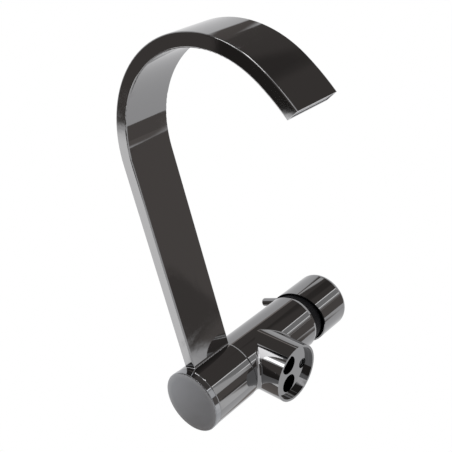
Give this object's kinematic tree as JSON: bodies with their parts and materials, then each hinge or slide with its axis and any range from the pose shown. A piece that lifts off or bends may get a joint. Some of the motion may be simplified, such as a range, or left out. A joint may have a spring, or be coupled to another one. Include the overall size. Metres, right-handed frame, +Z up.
{
  "type": "folding tap",
  "caption": "Folding mixer tap: a flat arched spout folds about a horizontal barrel on a short round leg, and a tilting knob with a pin lever on the barrel's end sets flow and warmth.",
  "frame": {"origin": "centre of the leg's seating face, which is the mouth of the gasket recess", "axes": "+Z up out of the sink deck, +X along the barrel from the spout's end to the knob, -Y the side on which the arched spout and its outlet lie when folded"},
  "size_m": [0.1382, 0.2423, 0.1181],
  "materials": {
    "dark_chrome": "polished dark chrome",
    "satin_chrome": "satin dark chrome",
    "brass": "machined",
    "steel": "bright stainless",
    "black_plastic": "moulded black",
    "white_plastic": "moulded white",
    "ceramic": "lapped alumina",
    "rubber": "nitrile rubber"
  },
  "bodies": {
    "tap_body": {"valve_body": "dark_chrome", "spout_spindle": "brass", "spindle_o_rings": "rubber", "spindle_seal": "rubber", "thrust_ring": "white_plastic", "friction_ring": "white_plastic", "retaining_washer": "steel", "retaining_screw": "steel", "cartridge_housing": "white_plastic", "cartridge_base": "white_plastic", "base_seals": "rubber", "fixed_ceramic_disc": "ceramic", "cartridge_nut": "brass", "cover_ring": "black_plastic"},
    "spout": {"spout_tube": "dark_chrome", "outlet_insert": "black_plastic", "spout_collar": "dark_chrome", "end_cap": "satin_chrome", "cap_o_ring": "rubber"},
    "rotor": {"cartridge_rotor": "black_plastic", "rotor_o_ring": "rubber", "pivot_pin": "steel"},
    "disc": {"moving_ceramic_disc": "ceramic", "disc_carrier": "white_plastic"},
    "knob": {"cartridge_stem": "steel", "knob_insert": "black_plastic", "knob_shell": "dark_chrome", "lever_pin": "dark_chrome", "grub_screw": "steel"}
  },
  "joints": [
    {"name": "spout_fold", "type": "hinge", "parent": "tap_body", "child": "spout", "pos_m": [0, 0, 0.0331], "axis": [1, 0, 0], "range_deg": [-73, 17]},
    {"name": "knob_turn", "type": "hinge", "parent": "tap_body", "child": "rotor", "pos_m": [0, 0, 0.0331], "axis": [1, 0, 0], "range_deg": [-22.5, 67.5]},
    {"name": "lever_tilt", "type": "hinge", "parent": "rotor", "child": "knob", "pos_m": [0.044, 0, 0.0331], "axis": [0, 0.9239, -0.3827], "range_deg": [0, 15]},
    {"name": "disc_slide", "type": "slide", "parent": "rotor", "child": "disc", "axis": [0, 0.3827, 0.9239], "range_m": [0, 0.00367]}
  ],
  "couplings": [
    {"joint": "disc_slide", "follows": "lever_tilt", "m_per_rad": 0.014}
  ]
}
